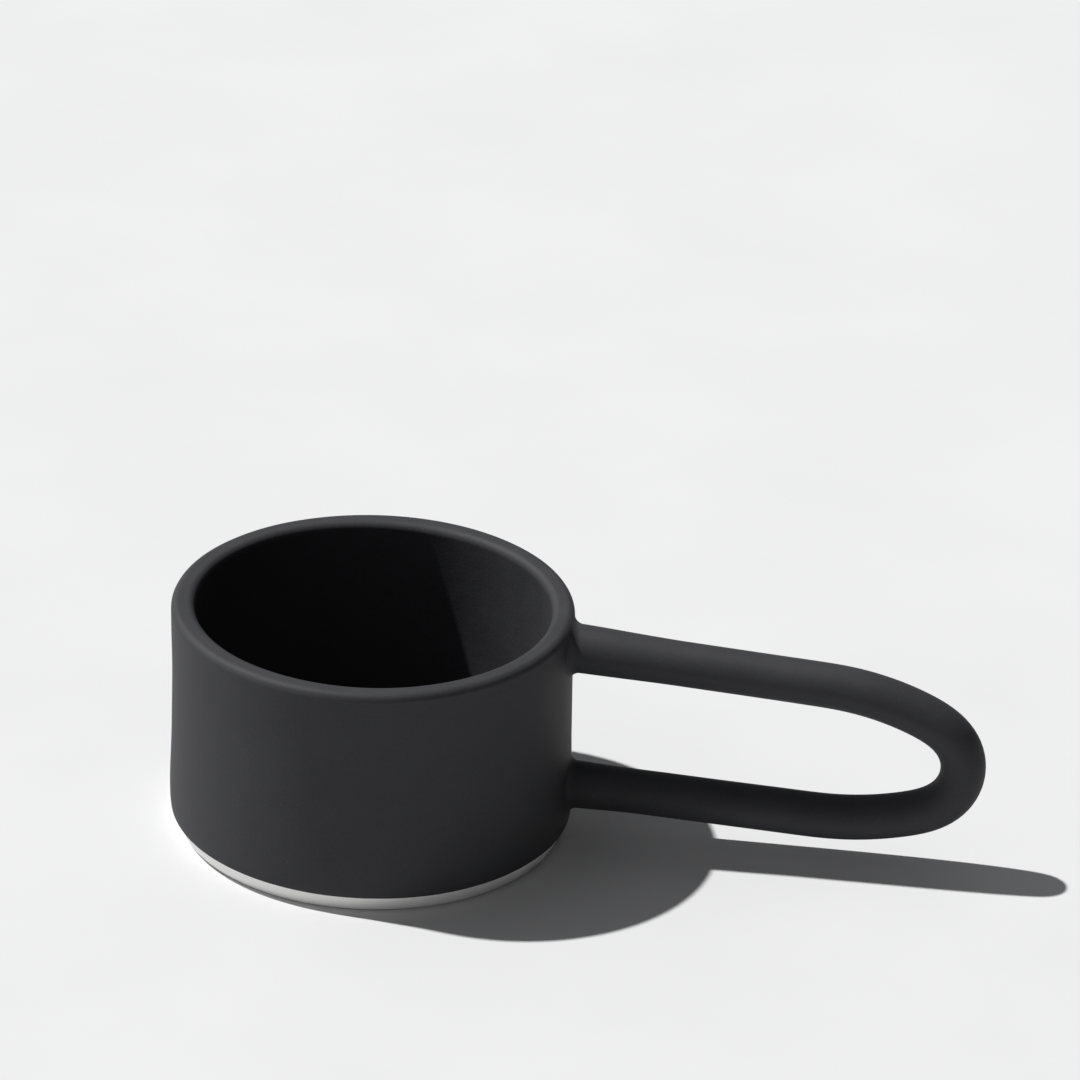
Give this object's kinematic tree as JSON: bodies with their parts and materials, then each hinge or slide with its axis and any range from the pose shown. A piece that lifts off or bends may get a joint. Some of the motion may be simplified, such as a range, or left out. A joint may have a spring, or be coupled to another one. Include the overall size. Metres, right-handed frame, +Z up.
{
  "type": "mug",
  "caption": "Low wide matt black glazed porcelain mug with a bare white foot and one long round-coil loop handle running out level from its side.",
  "frame": {"origin": "middle of the foot, on the surface that the mug stands on", "axes": "+Z up along the cup's axis, +X out along the handle, +Y to the side"},
  "size_m": [0.1834, 0.09, 0.054],
  "materials": {
    "bare_porcelain": "matt",
    "black_glaze": "matt"
  },
  "bodies": {
    "root": {"cup_wall": "bare_porcelain", "base_slab": "bare_porcelain", "handle_coil": "bare_porcelain", "upper_joint_collar": "bare_porcelain", "lower_joint_collar": "bare_porcelain", "outer_glaze": "black_glaze", "liner_glaze": "black_glaze", "handle_glaze": "black_glaze"}
  },
  "joints": []
}
